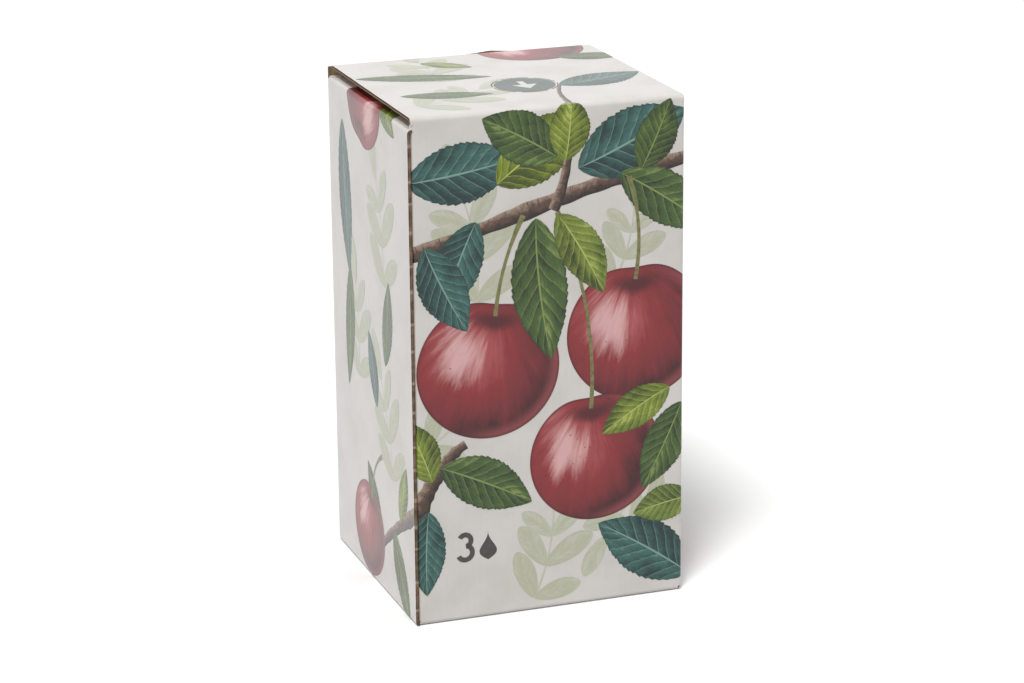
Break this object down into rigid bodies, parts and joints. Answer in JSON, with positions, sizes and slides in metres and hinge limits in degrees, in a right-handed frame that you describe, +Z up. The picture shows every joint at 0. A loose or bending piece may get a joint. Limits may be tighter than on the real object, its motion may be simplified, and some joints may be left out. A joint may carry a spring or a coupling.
{
  "type": "bag in box carton",
  "caption": "Upright folded corrugated carton with a tuck lid and tear-out hatch, holding a full juice bag with a push-button tap.",
  "frame": {"origin": "middle of the base, on the surface that the carton stands on", "axes": "+Z up, the printed front panel faces -Y, +X to the right of someone who looks at the front"},
  "size_m": [0.13, 0.122, 0.235],
  "materials": {
    "coated_board": "satin",
    "juice_film": "gloss",
    "tap_plastic": "satin",
    "button_plastic": "satin",
    "seal_rubber": "matte"
  },
  "bodies": {
    "carton": {"carton_body": "coated_board", "bag": "juice_film", "spout_gland": "tap_plastic", "tap_body": "tap_plastic"},
    "lid": {"carton_lid": "coated_board"},
    "button": {"tap_button": "button_plastic", "valve_stem": "tap_plastic", "valve_seal": "seal_rubber"}
  },
  "joints": [
    {"name": "lid_hinge", "type": "hinge", "parent": "carton", "child": "lid", "pos_m": [0, -0.061, 0.235], "axis": [1, 0, 0], "range_deg": [0, 180]},
    {"name": "button_slide", "type": "slide", "parent": "carton", "child": "button", "axis": [0, 0, -1], "range_m": [0, 0.0035], "stiffness_N_per_m": 1500, "springref_m": -0.001}
  ]
}
